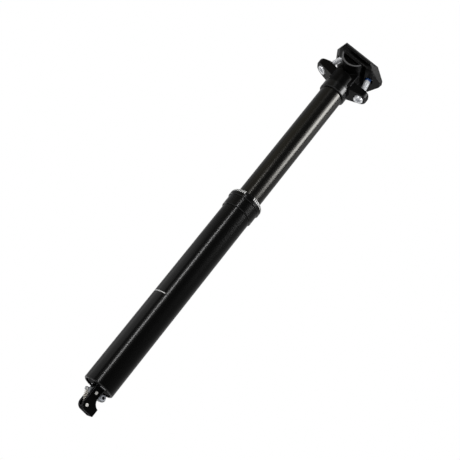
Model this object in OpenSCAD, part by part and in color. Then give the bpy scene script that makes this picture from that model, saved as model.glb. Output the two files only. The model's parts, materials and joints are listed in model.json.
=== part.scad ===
// Dropper seatpost for a bicycle: a post that slides in a lower tube on a locking gas spring, with a
// two-bolt saddle head at the top and a cable-pulled release at the foot.
// The origin is on the post's axis at the underside of the collar. +Z runs up the post, and +X points
// to the front of the saddle. The post stands at its full height.

/* [Lower tube] */
// Outside diameter, which the frame clamps
tube_od = 30.9; // [30.6:0.1:34.9]
// Bore
tube_bore = 27; // [26.8:0.1:27.2]
// Length below the collar
tube_len = 214; // [205:1:260]
// Diameter of the threaded neck inside the collar
neck_od = 29.4; // [29:0.1:30]
// Height of the threaded neck
neck_h = 8.5; // [6:0.5:9.5]
// Chamfer at the foot
tube_chamfer = 0.8; // [0.2:0.1:1.2]

/* [Collar and seal] */
// Diameter of the collar's band
collar_od = 33.2; // [32:0.1:36]
// Height of the collar's band
collar_h = 11.8; // [10.5:0.1:16]
// Diameter of the seal ring
ring_od = 35.2; // [34:0.1:38]
// Height of the seal ring
ring_h = 8.3; // [7.5:0.1:12]
// Height of the seal ring's straight rim, below its dome
ring_rim_h = 3.6; // [2:0.1:4.5]
// Height of the collar's spigot inside the seal ring
spigot_h = 3.4; // [2:0.1:4]
// Diameter of that spigot
spigot_od = 30.6; // [30:0.1:31.6]
// Thickness of the wiper seal
wiper_t = 2; // [1.7:0.1:2.4]
// Height of the wiper's lip above the seal ring
wiper_lip = 0.6; // [0.2:0.1:0.8]

/* [Sliding post] */
// Outside diameter of the sliding post
post_od = 25; // [24.6:0.1:25.2]
// Bore of the sliding post
post_bore = 21.6; // [21:0.1:22]
// Running clearance of every sliding fit, on the radius
run_fit = 0.05; // [0.02:0.01:0.08]
// Gap between the head and the seal at full drop
drop_gap = 0.9; // [0.7:0.1:3]
// Length of the upper bushing below the collar's underside
bushing_drop = 16; // [12:1:24]
// Length of the lower bushing
low_bushing_len = 14; // [8:1:18]
// Depth of the lower bushing's groove in the post
low_bushing_seat = 0.4; // [0.2:0.1:0.6]
// Gap between the guide keys and the lower bushing
low_bushing_gap = 3.7; // [1:0.1:8]
// Depth of the post below its lower bushing
post_tail = 2; // [1:0.5:4]
// Length of the guide keys
key_len = 13; // [8:1:16]
// Width of the guide keys
key_w = 2.4; // [2:0.1:3]
// Depth of the key grooves in the lower tube
key_groove = 0.9; // [0.6:0.1:1.1]
// Side clearance of a key in its groove
key_fit = 0.1; // [0.05:0.05:0.2]
// Depth of the key pockets in the sliding post
key_pocket = 1.1; // [0.8:0.1:1.3]
// Number of guide keys
key_count = 3; // [2:1:4]

/* [Foot of the lower tube] */
// Height of the end cap
cap_h = 9; // [7:0.5:14]
// Cord thickness of the end cap's O-ring
oring_d = 2.2; // [1.6:0.1:2.6]
// Depth of the bracket's base inside the tube
base_recess = 1; // [0.5:0.1:2]
// Thickness of the bracket's base
base_t = 3; // [2.5:0.1:4]
// Diameter of the bracket's base
base_d = 24; // [22:0.5:25]
// Gap between the sliding post and the end cap at full drop
foot_gap = 2; // [1:0.5:6]

/* [Gas spring] */
// Diameter of the piston rod
rod_d = 8; // [7:0.5:9]
// Bore of the piston rod
rod_bore = 3.2; // [2.8:0.1:3.6]
// Bore of the cylinder
cyl_bore = 16; // [15:0.5:16.5]
// Outside diameter of the cylinder
cyl_od = 19; // [18.5:0.1:20]
// Length of the gland at the cylinder's foot
gland_len = 11; // [9:1:16]
// Length of the piston
piston_len = 12; // [10:1:16]
// Gap between piston and gland at full height
piston_gap = 2; // [1:0.5:4]
// Length of the floating piston
float_len = 9; // [7:0.5:14]
// Gap between the two pistons at full drop
float_gap = 1.3; // [0.8:0.1:4]
// Thickness of the cylinder's cap
cyl_cap_t = 8; // [6:0.5:12]
// Diameter of the stud that screws into the head
stud_d = 8; // [6:0.5:10]
// Length of that stud
stud_len = 8; // [6:0.5:9]
// Height of the rod's lock nut
nut_h = 4.5; // [3.5:0.5:6]
// Width across the flats of the rod's lock nut
nut_af = 13; // [12:0.5:14]
// Height of the stop buffer
bumper_h = 4.6; // [3:0.1:8]
// Gap between buffer and gland at full drop
bumper_gap = 0.6; // [0.4:0.1:2]
// Diameter of the needle's valve head
valve_d = 4.4; // [3.8:0.1:5]

/* [Head] */
// Outside diameter of the head's skirt
skirt_od = 28.8; // [28.4:0.1:31]
// Depth of the post in the skirt
skirt_depth = 13; // [10:0.5:14]
// Height of the rocking axis above the skirt's rim
rock_h = 39.5; // [39:0.5:43]
// Offset of the rocking axis to the front
rock_x = 1.5; // [0:0.1:3]
// Tilt of the saddle rails, front end down
head_tilt = 11; // [8:0.5:14]
// Radius of the half-pipe seat
seat_r = 11.5; // [11:0.1:12]
// Wall of the half-pipe seat
seat_wall = 2.3; // [1.8:0.1:3]
// Chamfer round the bore of the half-pipe, at both ends
seat_chamfer = 0.8; // [0.4:0.1:1.2]
// Half the length of the half-pipe seat
seat_half_len = 25; // [23:0.5:27]
// Depth of the seat's edges below the rocking axis
seat_edge_drop = 5; // [4.6:0.1:6]
// Distance of the front bolt's head from the post's axis
front_bolt_x = 25.4; // [24:0.1:27]
// Height of the front bolt's head above the skirt's rim
front_bolt_z = 9.8; // [8:0.1:11]
// Distance of the rear bolt's head from the post's axis
rear_bolt_x = 25.6; // [24:0.1:27]
// Height of the rear bolt's head above the skirt's rim
rear_bolt_z = 20.2; // [18:0.1:22]
// Radius of the ears in plan
ear_r = 7.8; // [7.4:0.1:9]
// Rounding of the ears' edges in the side view
ear_round = 2.5; // [1.5:0.1:3]
// Height of the ears over their bolts
ear_h = 10.4; // [10:0.1:12]
// Height of the front ear's underside above the bolt head's face
front_ear_rise = 2.4; // [0.8:0.1:2.6]
// Height of the rear ear's underside above the bolt head's face
rear_ear_rise = 1.4; // [0.8:0.1:2.5]
// Half the width of the ears at the post's axis
ear_root_r = 10.6; // [10:0.2:11]

/* [Saddle clamp] */
// Diameter of the saddle rails
rail_d = 7; // [6.8:0.1:7.2]
// Distance between the rails' centres
rail_spacing = 44; // [42:0.5:46]
// Half the width of the clamp, across the rails
clamp_half_w = 24.6; // [23.5:0.1:26]
// Half the length of the upper clamp along the rails
wing_half_len = 18; // [16:0.5:20]
// Depth of the hollow in each end of the lower cradle
cradle_hollow = 4.6; // [3:0.1:6]
// Thickness of the upper clamp above the rails
wing_cover = 2.2; // [2:0.1:4]
// Height of the upper clamp's middle above the rails' centres
rib_top = 11; // [9.5:0.1:12]
// Reach of the front bolt lug from the middle of the upper clamp
lug_reach = 32; // [30:0.5:34]
// Half the width of the front bolt lug's nose
nose_half_w = 4.8; // [4.4:0.1:9]
// Reach of the rear bolt lug
rear_lug_reach = 26.5; // [25:0.5:32]
// Half the width of the rear bolt lug
lug_half_w = 8.6; // [8.2:0.1:10]
// Gap between the upper and lower clamp at the rails
clamp_gap = 1; // [0.6:0.1:2]
// Distance of the barrel nuts from the middle of the upper clamp
nut_u = 17; // [16:0.1:18.5]
// Height of the barrel nuts above the rails' centres
nut_w = 9; // [8:0.1:10]
// Diameter of the barrel nuts
barrel_nut_d = 10; // [9:0.1:11]
// Length of the barrel nuts
barrel_nut_len = 13; // [11:0.5:14]

/* [Clamp bolts] */
// Thread diameter
bolt_d = 6; // [5:0.5:6]
// Diameter of the bolt heads
bolt_head_d = 10; // [8.5:0.5:10]
// Height of the bolt heads
bolt_head_h = 5.5; // [5:0.1:6]
// Width across the flats of the hex socket
socket_af = 5; // [4:0.5:5]
// Depth of the hex socket
socket_depth = 3; // [2:0.5:4]
// Height of the ball washers
washer_h = 2.6; // [2.4:0.1:3]
// Radius of the ball washers' round side
washer_r = 6.5; // [6:0.1:8]
// Length of thread past the middle of the barrel nut
bolt_past = 8.5; // [7:0.5:10]
// Clearance of the bolts in the nuts and of the heads in their pockets
swing_fit = 0.25; // [0.2:0.05:0.4]

/* [Cable release] */
// Turn of the bracket about the post, from the left side towards the front
actuator_angle = 45; // [0:5:90]
// Thickness of the bracket over both cheeks
bracket_t = 8.6; // [8:0.1:10]
// Gap between the cheeks
cheek_gap = 4.6; // [4.4:0.1:5]
// Left edge of the cheeks, from the post's axis
cheek_left = 4.6; // [4:0.1:5.5]
// Right edge of the cheeks, from the post's axis
cheek_right = 4.75; // [4:0.05:5]
// Length of the bracket below the tube
bracket_len = 23.6; // [23.2:0.1:28]
// Reach of the bracket's foot to the right
foot_reach = 11.6; // [11.4:0.1:12.2]
// Radius of the round notch above the foot
notch_r = 7.6; // [7.4:0.1:8]
// Depth of the notch's centre below the tube
notch_drop = 7.9; // [7.6:0.1:8.4]
// Rounding of the bracket's lower left corner
corner_r = 6; // [4:0.5:7]
// Depth of the rocker's pivot below the tube
pivot_drop = 5.4; // [5.2:0.1:6.2]
// Depth of the spring pin below the tube
spring_pin_drop = 18.8; // [18:0.1:19.2]
// Diameter of the two pins
pin_d = 3; // [2.5:0.1:3.2]
// Thickness of the rocker
rocker_t = 4.2; // [3.8:0.1:4.3]
// Radius of the rocker's cam
cam_r = 3.8; // [3.6:0.1:4]
// Distance of the cam's centre from the pivot, to the left
cam_out = 2.4; // [2:0.1:2.6]
// Depth of the cam's centre below the pivot
cam_down = 0.4; // [0.2:0.1:0.6]
// Gap between cam and button while the lever rests
cam_gap = 0.3; // [0.2:0.05:0.4]
// Distance of the cable barrel from the pivot
barrel_out = 8.8; // [8.6:0.1:9]
// Height of the cable barrel above the pivot
barrel_up = 1.1; // [0.8:0.1:1.3]
// Diameter of the cable barrel
barrel_d = 5.5; // [5:0.1:5.5]
// Length of the cable barrel
barrel_len = 8; // [7:0.5:9]
// Distance of the spring's hole from the pivot, to the left
tab_out = 8.4; // [7.6:0.1:8.6]
// Depth of the spring's hole below the pivot
tab_down = 2; // [1.6:0.1:2.4]
// Thickness of the rocker's spring tab
tab_t = 1.6; // [1.2:0.1:1.8]
// Diameter of the housing seat in the foot
housing_d = 5; // [4.6:0.1:5.2]
// Depth of the housing seat
housing_depth = 5; // [3.5:0.5:5.5]
// Diameter of the wire's hole
wire_hole_d = 2; // [1.6:0.1:2.2]
// Distance of the housing seat from the post's axis
housing_x = 8.4; // [8:0.1:8.8]

/* [Return spring] */
// Wire thickness
wire_d = 0.7; // [0.5:0.05:0.75]
// Mean radius of the curls
curl_r = 1.7; // [1.5:0.05:1.7]
// Number of curls
curls = 7; // [5:1:7]
// Radius of the upper hook
hook_r = 1.6; // [1.5:0.05:1.7]

/* [Hidden] */
$fn = 64;

// Cut tools reach this far past what they cut
past = 1;
far = 60;

// The lower tube's length sets the drop: what its foot and the bushings leave of it
key_stop_gap = 0.3;
post_overlap = bushing_drop + key_stop_gap + key_len + low_bushing_gap + low_bushing_len + post_tail;
travel = tube_len - base_recess - base_t - cap_h - foot_gap - post_overlap;

// Heights from the foot up
foot_z = -tube_len;
base_low = foot_z + base_recess;
cap_low = base_low + base_t;
cap_top = cap_low + cap_h;
nut_top = cap_top + nut_h;
bumper_top = nut_top + bumper_h;
cyl_low = bumper_top + bumper_gap + travel;
post_low = cap_top + foot_gap + travel;
low_bushing_z = post_low + post_tail;
key_top = -bushing_drop - key_stop_gap;
rod_low = cap_low - 1.2;
piston_low = cyl_low + gland_len + piston_gap;
piston_top = piston_low + piston_len;
rod_in_piston = 8;
rod_top = piston_low + rod_in_piston;
float_ratio = pow(rod_d / cyl_bore, 2);
float_low = piston_top + travel + float_gap - travel * float_ratio;

// Heights at the collar and the head
ring_top = collar_h + ring_h;
rim_z = ring_top + drop_gap + travel;
post_top = rim_z + skirt_depth;
cyl_top_gap = 0.3;
cyl_top = post_top - cyl_top_gap;
rock_z = rim_z + rock_h;

// Radii
tube_r = tube_od / 2;
bore_r = tube_bore / 2;
post_r = post_od / 2;
neck_r = neck_od / 2;
rod_r = rod_d / 2;
cyl_r = cyl_bore / 2;
rail_r = rail_d / 2;
lip_in = post_r + run_fit;
wiper_r = post_r + wiper_t;
groove_r = bore_r + key_groove;

// Bolt lines: each runs from the foot of its head to the middle of its barrel nut
function in_head(u, w) = [
  rock_x + u * cos(head_tilt) + w * sin(head_tilt),
  rock_z - u * sin(head_tilt) + w * cos(head_tilt)
];
front_foot = [front_bolt_x, rim_z + front_bolt_z];
rear_foot = [-rear_bolt_x, rim_z + rear_bolt_z];
front_nut_at = in_head(nut_u, nut_w);
rear_nut_at = in_head(-nut_u, nut_w);
washer_crest = bolt_head_h + washer_h;
washer_centre = washer_crest - washer_r;

// Release levels
pivot_z = foot_z - pivot_drop;
button_low = pivot_z - cam_down + cam_r + cam_gap;
button_h = 2;
button_r = 2.2;
button_cone = 0.5;
hook_room = 1.5;
slot_floor = spring_pin_drop + pin_d / 2 + hook_room;
cup_wall = 1.4;
barrel_fit = 0.03;
seat_hole_r = barrel_d / 2 + barrel_fit;

// Shapes that repeat

// Ring round the Z axis
module ring(r_out, r_in, low, high) {
  translate([0, 0, low]) difference() {
    cylinder(r = r_out, h = high - low);
    translate([0, 0, -past]) cylinder(r = r_in, h = high - low + 2 * past);
  }
}

// Outline grown by r, with round corners
module grown(points, r) {
  count = len(points);
  polygon(points);
  for (i = [0 : count - 1]) {
    a = points[i];
    b = points[(i + 1) % count];
    side = [b[1] - a[1], a[0] - b[0]] * r / norm(b - a);
    translate(a) circle(r);
    polygon([a, a + side, b + side, b]);
  }
}

// Outline of a round r1 at the origin and a round r2 at distance d on X, joined by their tangents
module tapered_bar(r1, r2, d) {
  turn = acos((r1 - r2) / d);
  dir = [cos(turn), sin(turn)];
  flip = [cos(turn), -sin(turn)];
  circle(r1);
  translate([d, 0]) circle(r2);
  polygon([dir * r1, flip * r1, [d, 0] + flip * r2, [d, 0] + dir * r2]);
}

// Upright slab: an outline in X and Z, with its thickness along Y
module slab(t) {
  rotate([90, 0, 0]) linear_extrude(t, center = true) children();
}

// Round-ended block along Z, standing out from the Z axis along X
module key_block(length, width, r_in, r_out) {
  translate([r_in, 0, 0]) rotate([0, 90, 0]) linear_extrude(r_out - r_in) {
    square([length - width, width], center = true);
    for (end = [-1, 1]) translate([end * (length - width) / 2, 0]) circle(d = width);
  }
}

module around(count) {
  for (i = [0 : count - 1]) rotate(i * 360 / count) children();
}

// Places along a bolt's line, with Z from the foot of its head to its nut
module on_bolt(foot, nut_at) {
  lean = atan2(nut_at[0] - foot[0], nut_at[1] - foot[1]);
  translate([foot[0], 0, foot[1]]) rotate([0, lean, 0]) children();
}

// Frame of the saddle clamp: X along the rails, Z square to them, from the rocking axis
module in_clamp() {
  translate([rock_x, 0, rock_z]) rotate([0, head_tilt, 0]) children();
}

// Frame of the bracket: X to the right, Y away from its face, Z up from the foot of the tube
module in_bracket() {
  translate([0, 0, foot_z]) rotate(actuator_angle) children();
}

// Lower tube and what is fixed in it

module outer_tube() {
  color("#1a1b1d") difference() {
    rotate_extrude() polygon([
      [bore_r, foot_z], [tube_r - tube_chamfer, foot_z], [tube_r, foot_z + tube_chamfer],
      [tube_r, 0], [neck_r, 0], [neck_r, neck_h], [bore_r, neck_h]
    ]);
    key_slots();
  }
}

// Grooves that guide the keys, open at the foot
module key_slots() {
  slot_w = key_w + 2 * key_fit;
  slot_len = tube_len - bushing_drop;
  around(key_count)
    translate([0, -slot_w / 2, foot_z - past]) cube([groove_r, slot_w, slot_len + past]);
}

module collar() {
  edge = 0.5;
  lip_r = lip_in + 0.5;
  color("#17181a") rotate_extrude() polygon([
    [neck_r, 0], [collar_od / 2 - edge, 0], [collar_od / 2, edge], [collar_od / 2, collar_h],
    [spigot_od / 2, collar_h], [spigot_od / 2, collar_h + spigot_h], [lip_r, collar_h + spigot_h],
    [lip_r, neck_h], [neck_r, neck_h]
  ]);
}

// Step of the wiper under the seal ring's roof
wiper_step = 1.1;
roof = 1;

module seal_ring() {
  edge = 0.5;
  crown_r = wiper_r - wiper_step;
  dome_low = collar_h + ring_rim_h;
  dome_h = ring_top - dome_low;
  dome_w = ring_od / 2 - crown_r;
  dome = [for (a = [0 : 15 : 90]) [crown_r + dome_w * cos(a), dome_low + dome_h * sin(a)]];
  seat_z = collar_h + spigot_h;
  color("#1b1c1e") rotate_extrude() polygon(concat(
    [[spigot_od / 2, collar_h], [ring_od / 2 - edge, collar_h], [ring_od / 2, collar_h + edge]],
    dome,
    [[crown_r, ring_top - roof], [wiper_r, ring_top - roof], [wiper_r, seat_z], [spigot_od / 2, seat_z]]
  ));
}

module wiper_seal() {
  seat_z = collar_h + spigot_h;
  neck = wiper_r - wiper_step;
  lip_t = 0.5;
  color("#101010") rotate_extrude() polygon([
    [lip_in, seat_z], [wiper_r, seat_z], [wiper_r, ring_top - roof], [neck, ring_top - roof],
    [neck, ring_top], [lip_in + lip_t, ring_top + wiper_lip], [lip_in, ring_top + wiper_lip]
  ]);
}

module upper_bushing() {
  split = 1;
  color("#8c7a4a") difference() {
    ring(bore_r, lip_in, -bushing_drop, neck_h);
    translate([-bore_r - past, -split / 2, -bushing_drop - past])
      cube([bore_r, split, bushing_drop + neck_h + 2 * past]);
  }
}

screw_pitch = 17;
screw_d = 3;
screw_len = 8;

module bracket_screw_places() {
  rotate(actuator_angle) for (side = [-1, 1]) translate([0, side * screw_pitch / 2, 0]) children();
}

module end_cap() {
  groove_mid = (cap_low + cap_top) / 2;
  color("#3a3c40") difference() {
    ring(bore_r, rod_r, cap_low, cap_top);
    ring(bore_r + past, bore_r - oring_d, groove_mid - oring_d / 2, groove_mid + oring_d / 2);
    bracket_screw_places() translate([0, 0, cap_low - past]) cylinder(d = screw_d, h = screw_len - base_t + past);
  }
}

module end_cap_seal() {
  groove_mid = (cap_low + cap_top) / 2;
  color("#111111") translate([0, 0, groove_mid])
    rotate_extrude() translate([bore_r - oring_d / 2, 0]) circle(d = oring_d);
}

// Cable release at the foot

module bracket_outline() {
  column_low = -bracket_len + corner_r;
  corner_x = -cheek_left + corner_r;
  edge = 0.8;
  translate([-cheek_left, column_low]) square([cheek_left + cheek_right, base_recess - column_low]);
  translate([corner_x, column_low]) circle(corner_r);
  difference() {
    union() {
      grown([[corner_x, -bracket_len + edge], [foot_reach - edge, -bracket_len + edge],
             [foot_reach - edge, -notch_drop], [corner_x, -notch_drop]], edge);
      translate([corner_x, -bracket_len]) square([corner_r, corner_r]);
    }
    translate([cheek_right + notch_r, -notch_drop]) circle(notch_r);
  }
}

// Room for the rocker between the cheeks
module rocker_slot() {
  swing_floor = 14.5;
  slab(cheek_gap) {
    translate([-far, -slot_floor]) square([far + cheek_right, slot_floor + base_recess]);
    translate([0, -swing_floor]) square([far, swing_floor + base_recess]);
  }
}

module actuator_bracket() {
  button_fit = 0.4;
  color("#161719") difference() {
    in_bracket() {
      translate([0, 0, base_recess]) cylinder(d = base_d, h = base_t);
      difference() {
        slab(bracket_t) bracket_outline();
        rocker_slot();
        for (drop = [pivot_drop, spring_pin_drop])
          translate([0, 0, -drop]) rotate([90, 0, 0]) cylinder(d = pin_d, h = far, center = true);
        translate([housing_x, 0, -bracket_len - past]) {
          cylinder(d = housing_d, h = housing_depth + past);
          cylinder(d = wire_hole_d, h = bracket_len);
        }
      }
    }
    translate([0, 0, base_low - past]) cylinder(r = button_r + button_fit, h = base_t / 2 + past);
    translate([0, 0, base_low]) cylinder(r = rod_r + run_fit, h = base_t + past);
    bracket_screw_places() screw_shape();
  }
}

// Countersunk screw with its head flush in the base
module screw_shape() {
  head_r = screw_d;
  head_h = screw_d / 2;
  translate([0, 0, base_low]) {
    cylinder(r1 = head_r, r2 = screw_d / 2, h = head_h);
    cylinder(d = screw_d, h = screw_len);
  }
}

module bracket_screws() {
  drive_af = 2;
  drive_depth = 1.2;
  color("#9a9ca0") bracket_screw_places() difference() {
    screw_shape();
    translate([0, 0, base_low - past]) cylinder(d = drive_af / cos(30), h = drive_depth + past, $fn = 6);
  }
}

module cross_pin(drop) {
  proud = 0.25;
  color("#e2e2de") in_bracket() translate([0, 0, -drop]) rotate([90, 0, 0])
    cylinder(d = pin_d, h = bracket_t + 2 * proud, center = true);
}

module pivot_pin() {
  cross_pin(pivot_drop);
}

module spring_pin() {
  cross_pin(spring_pin_drop);
}

// Lever outline round its pivot: hub, cam to the left, and the cup's arm to the right
module rocker_outline() {
  hub_r = 3.2;
  cup_r = seat_hole_r + cup_wall;
  reach = norm([barrel_out, barrel_up]);
  translate([-cam_out, -cam_down]) circle(cam_r);
  rotate(atan2(barrel_up, barrel_out)) tapered_bar(hub_r, cup_r, reach);
}

module rocker() {
  tab_r = 1.8;
  tab_root_r = 1.9;
  tab_hole_r = 0.9;
  tab_vec = [cam_out - tab_out, cam_down - tab_down];
  wire_slot = 2;
  fork_root = 5.4;
  color("#8f9296") in_bracket() translate([0, 0, -pivot_drop]) difference() {
    union() {
      slab(rocker_t) rocker_outline();
      slab(tab_t) translate([-cam_out, -cam_down]) rotate(atan2(tab_vec[1], tab_vec[0]))
        tapered_bar(tab_root_r, tab_r, norm(tab_vec));
    }
    slab(far) {
      circle(pin_d / 2 + run_fit);
      translate([-tab_out, -tab_down]) circle(tab_hole_r);
      translate([barrel_out, barrel_up]) circle(seat_hole_r);
      translate([barrel_out - seat_hole_r, barrel_up]) square([far, far]);
    }
    translate([fork_root, -wire_slot / 2, barrel_up - far]) cube([far, wire_slot, far]);
  }
}

grub_d = 3;

module cable_barrel() {
  color("#c9cbcd") in_bracket() translate([barrel_out, 0, barrel_up - pivot_drop]) difference() {
    rotate([90, 0, 0]) cylinder(d = barrel_d, h = barrel_len, center = true);
    cylinder(d = wire_hole_d, h = far, center = true);
    rotate([90, 0, 0]) cylinder(d = grub_d, h = barrel_len);
  }
}

module barrel_screw() {
  drive_af = 1.5;
  drive_depth = 1.2;
  start = wire_hole_d / 2;
  grub_len = barrel_len / 2 - start - 0.3;
  color("#303236") in_bracket() translate([barrel_out, 0, barrel_up - pivot_drop]) rotate([90, 0, 0])
    translate([0, 0, start]) difference() {
      cylinder(d = grub_d, h = grub_len);
      translate([0, 0, grub_len - drive_depth]) cylinder(d = drive_af / cos(30), h = far, $fn = 6);
    }
}

// Return spring: one wire, hooked in the rocker's tab, curled, and hooked round the spring pin
spring_top = [-tab_out, 0, -pivot_drop - tab_down];
spring_foot = [0, 0, -spring_pin_drop];
spring_run = norm(spring_foot - spring_top);
along = (spring_foot - spring_top) / spring_run;
across = [0, -1, 0];
beside = cross(along, across);
pin_hook_gap = 0.3;
pin_hook_r = pin_d / 2 + pin_hook_gap + wire_d / 2;
ramp = 0.9;
pin_ramp = 2;
pin_side = 0.3;
curl_rings = 8;
curl_start = hook_r + ramp;
curl_run = spring_run - curl_start - pin_ramp - pin_side;
curl_turn = 360 * (floor(curls) + 0.25);

function spring_point(s, r, turn) = spring_top + along * s + (across * cos(turn) + beside * sin(turn)) * r;
upper_hook = [for (t = [-90 : 30 : 60]) spring_top + along * hook_r
  + (across * sin(t) - along * cos(t)) * hook_r];
upper_ramp = [for (k = [0 : 0.25 : 0.75])
  spring_point(hook_r + ramp * k, hook_r + (curl_r - hook_r) * k, 90 * k * k)];
curl_steps = curl_rings * floor(curls);
coil = [for (i = [0 : curl_steps]) let (k = i / curl_steps)
  spring_point(curl_start + curl_run * k, curl_r, 90 + (curl_turn - 180) * k)];
lower_ramp = [for (k = [0.25 : 0.25 : 0.75]) spring_point(curl_start + curl_run + pin_ramp * k,
  curl_r + (pin_hook_r - curl_r) * k, curl_turn - 90 + 90 * (1 - (1 - k) * (1 - k)))];
lower_hook = [for (t = [-8 : 26 : 150]) spring_foot + (beside * cos(t) + along * sin(t)) * pin_hook_r];
spring_path = concat(upper_hook, upper_ramp, coil, lower_ramp, lower_hook);

spring_last = len(spring_path) - 1;
function unit(v) = v / norm(v);
spring_dirs = [for (i = [0 : spring_last])
  unit(spring_path[min(i + 1, spring_last)] - spring_path[max(i - 1, 0)])];
function level(v, dir) = unit(v - dir * (v * dir));
spring_sides = [for (i = 0, v = level(beside, spring_dirs[0]); i <= spring_last;
  i = i + 1, v = level(v, spring_dirs[min(i, spring_last)])) v];
wire_sides = 6;
spring_rings = [for (i = [0 : spring_last]) let (v = spring_sides[i], w = cross(spring_dirs[i], v))
  for (j = [0 : wire_sides - 1]) spring_path[i]
    + (v * cos(j * 360 / wire_sides) + w * sin(j * 360 / wire_sides)) * wire_d / 2];

// Least gap of the wire to itself, between points more than half a curl apart
spring_gap = min([for (i = [0 : spring_last], j = [i + curl_rings / 2 : 1 : spring_last])
  norm(spring_path[i] - spring_path[j]) - wire_d]);
echo(spring_gap = spring_gap);

module return_spring() {
  walls = [for (i = [0 : spring_last - 1], j = [0 : wire_sides - 1])
    let (a = i * wire_sides + j, b = i * wire_sides + (j + 1) % wire_sides)
    each [[a, a + wire_sides, b], [b, a + wire_sides, b + wire_sides]]];
  end_ring = spring_last * wire_sides;
  ends = [for (j = [1 : wire_sides - 2])
    each [[0, j, j + 1], [end_ring, end_ring + j + 1, end_ring + j]]];
  color("#b9bab6") in_bracket() polyhedron(spring_rings, concat(walls, ends));
}

module release_button() {
  foot_r = button_r - 1.8 * button_cone;
  needle_r = rod_bore / 2 - run_fit;
  color("#c8a860") translate([0, 0, button_low]) rotate_extrude() polygon([
    [0, 0], [foot_r, 0], [button_r, button_cone], [button_r, button_h], [needle_r, button_h],
    [needle_r, button_h / 2], [0, button_h / 2]
  ]);
}

// Gas spring

module release_needle() {
  needle_r = rod_bore / 2 - run_fit;
  color("#d0d2d4") {
    translate([0, 0, button_low + button_h / 2])
      cylinder(r = needle_r, h = rod_top - button_low - button_h / 2 + past);
    translate([0, 0, rod_top + valve_lift]) cylinder(d = valve_d, h = valve_head);
  }
}

valve_head = 1.5;
valve_lift = 0.2;
valve_room = 0.4;

module piston_rod() {
  color("#d4d6d8") ring(rod_r, rod_bore / 2, rod_low, rod_top);
}

module rod_lock_nut() {
  color("#b4b6b8") difference() {
    translate([0, 0, cap_top]) cylinder(d = nut_af / cos(30), h = nut_h, $fn = 6);
    translate([0, 0, cap_top - past]) cylinder(r = rod_r, h = nut_h + 2 * past);
  }
}

module bottom_bumper() {
  bumper_r = cyl_r - 0.2;
  waist = 0.8;
  color("#c05a28") rotate_extrude() polygon([
    [rod_r, nut_top], [bumper_r, nut_top], [bumper_r - waist, (nut_top + bumper_top) / 2],
    [bumper_r, bumper_top], [rod_r, bumper_top]
  ]);
}

seal_w = 2.4;
seal_depth = 1.6;

// Sliding seal in a groove of a round piece
module seal_band(r, low) {
  ring(r - run_fit / 2, r - seal_depth, low, low + seal_w);
}

module piston() {
  port_d = 1.6;
  port_z = rod_top + port_d / 2 + 0.4;
  land = 2.4;
  color("#a9acb0") difference() {
    ring(cyl_r - run_fit, rod_r, piston_low, piston_top);
    translate([0, 0, piston_low + land]) ring(cyl_r + past, cyl_r - seal_depth, 0, seal_w);
  }
  color("#a9acb0") difference() {
    ring(rod_r, valve_d / 2 + valve_room, rod_top, piston_top);
    around(4) translate([0, 0, port_z]) rotate([0, 90, 0]) cylinder(d = port_d, h = far);
  }
}

module piston_seal() {
  land = 2.4;
  color("#151515") seal_band(cyl_r, piston_low + land);
}

module spring_cylinder() {
  color("#2b2d31") ring(cyl_od / 2, cyl_r, cyl_low, cyl_top);
}

seal_from_foot = 4;

module cylinder_gland() {
  color("#6f7276") difference() {
    ring(cyl_r, rod_r + run_fit, cyl_low, cyl_low + gland_len);
    ring(rod_r + seal_depth, rod_r, cyl_low + seal_from_foot, cyl_low + seal_from_foot + seal_w);
  }
}

module rod_seal() {
  color("#151515")
    ring(rod_r + seal_depth, rod_r + run_fit / 2, cyl_low + seal_from_foot, cyl_low + seal_from_foot + seal_w);
}

module cylinder_cap() {
  color("#55585c") {
    translate([0, 0, cyl_top - cyl_cap_t]) cylinder(r = cyl_r, h = cyl_cap_t);
    translate([0, 0, cyl_top]) cylinder(d = stud_d, h = cyl_top_gap + stud_len);
  }
}

module floating_piston() {
  land = (float_len - seal_w) / 2;
  dish_r = cyl_r - 3;
  dish = float_len / 3;
  color("#caa75a") translate([0, 0, float_low]) difference() {
    cylinder(r = cyl_r - run_fit, h = float_len);
    ring(cyl_r + past, cyl_r - seal_depth, land, land + seal_w);
    translate([0, 0, float_len - dish]) cylinder(r = dish_r, h = dish + past);
  }
}

module floating_seal() {
  color("#151515") seal_band(cyl_r, float_low + (float_len - seal_w) / 2);
}

// Sliding post

module stanchion() {
  bushing_r = post_r - low_bushing_seat;
  color("#0e0f11") difference() {
    ring(post_r, post_bore / 2, post_low, post_top);
    ring(post_r + past, bushing_r, low_bushing_z, low_bushing_z + low_bushing_len);
    around(key_count) translate([0, 0, key_top - key_len / 2])
      key_block(key_len, key_w, post_r - key_pocket, post_r + past);
  }
}

module lower_bushing() {
  split = 1;
  color("#8c7a4a") difference() {
    ring(bore_r - run_fit, post_r - low_bushing_seat, low_bushing_z, low_bushing_z + low_bushing_len);
    translate([-bore_r - past, -split / 2, low_bushing_z - past])
      cube([bore_r, split, low_bushing_len + 2 * past]);
  }
}

module guide_keys() {
  key_gap = 0.3;
  color("#c2a04c") around(key_count) translate([0, 0, key_top - key_len / 2])
    key_block(key_len, key_w, post_r - key_pocket, groove_r - key_gap);
}

// Head

// Ear that carries a bolt's head: its underside lies square to the bolt
module ear(foot, nut_at, root_top, rise) {
  plan_h = 45;
  out = abs(foot[0]);
  slope = abs((nut_at[0] - foot[0]) / (nut_at[1] - foot[1]));
  low = foot[1] + rise + ear_round;
  end_x = out + ear_r - ear_round;
  end_low = low + slope * (end_x - out);
  end_h = 1.5;
  rotate(foot[0] > 0 ? 0 : 180) intersection() {
    translate([0, 0, rim_z]) linear_extrude(plan_h) tapered_bar(ear_root_r, ear_r, out);
    slab(far) grown([
      [0, low - slope * out], [end_x, end_low], [end_x, end_low + end_h],
      [out - slope * ear_h, foot[1] + ear_h - ear_round], [0, root_top - ear_round]
    ], ear_round);
  }
}

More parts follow.
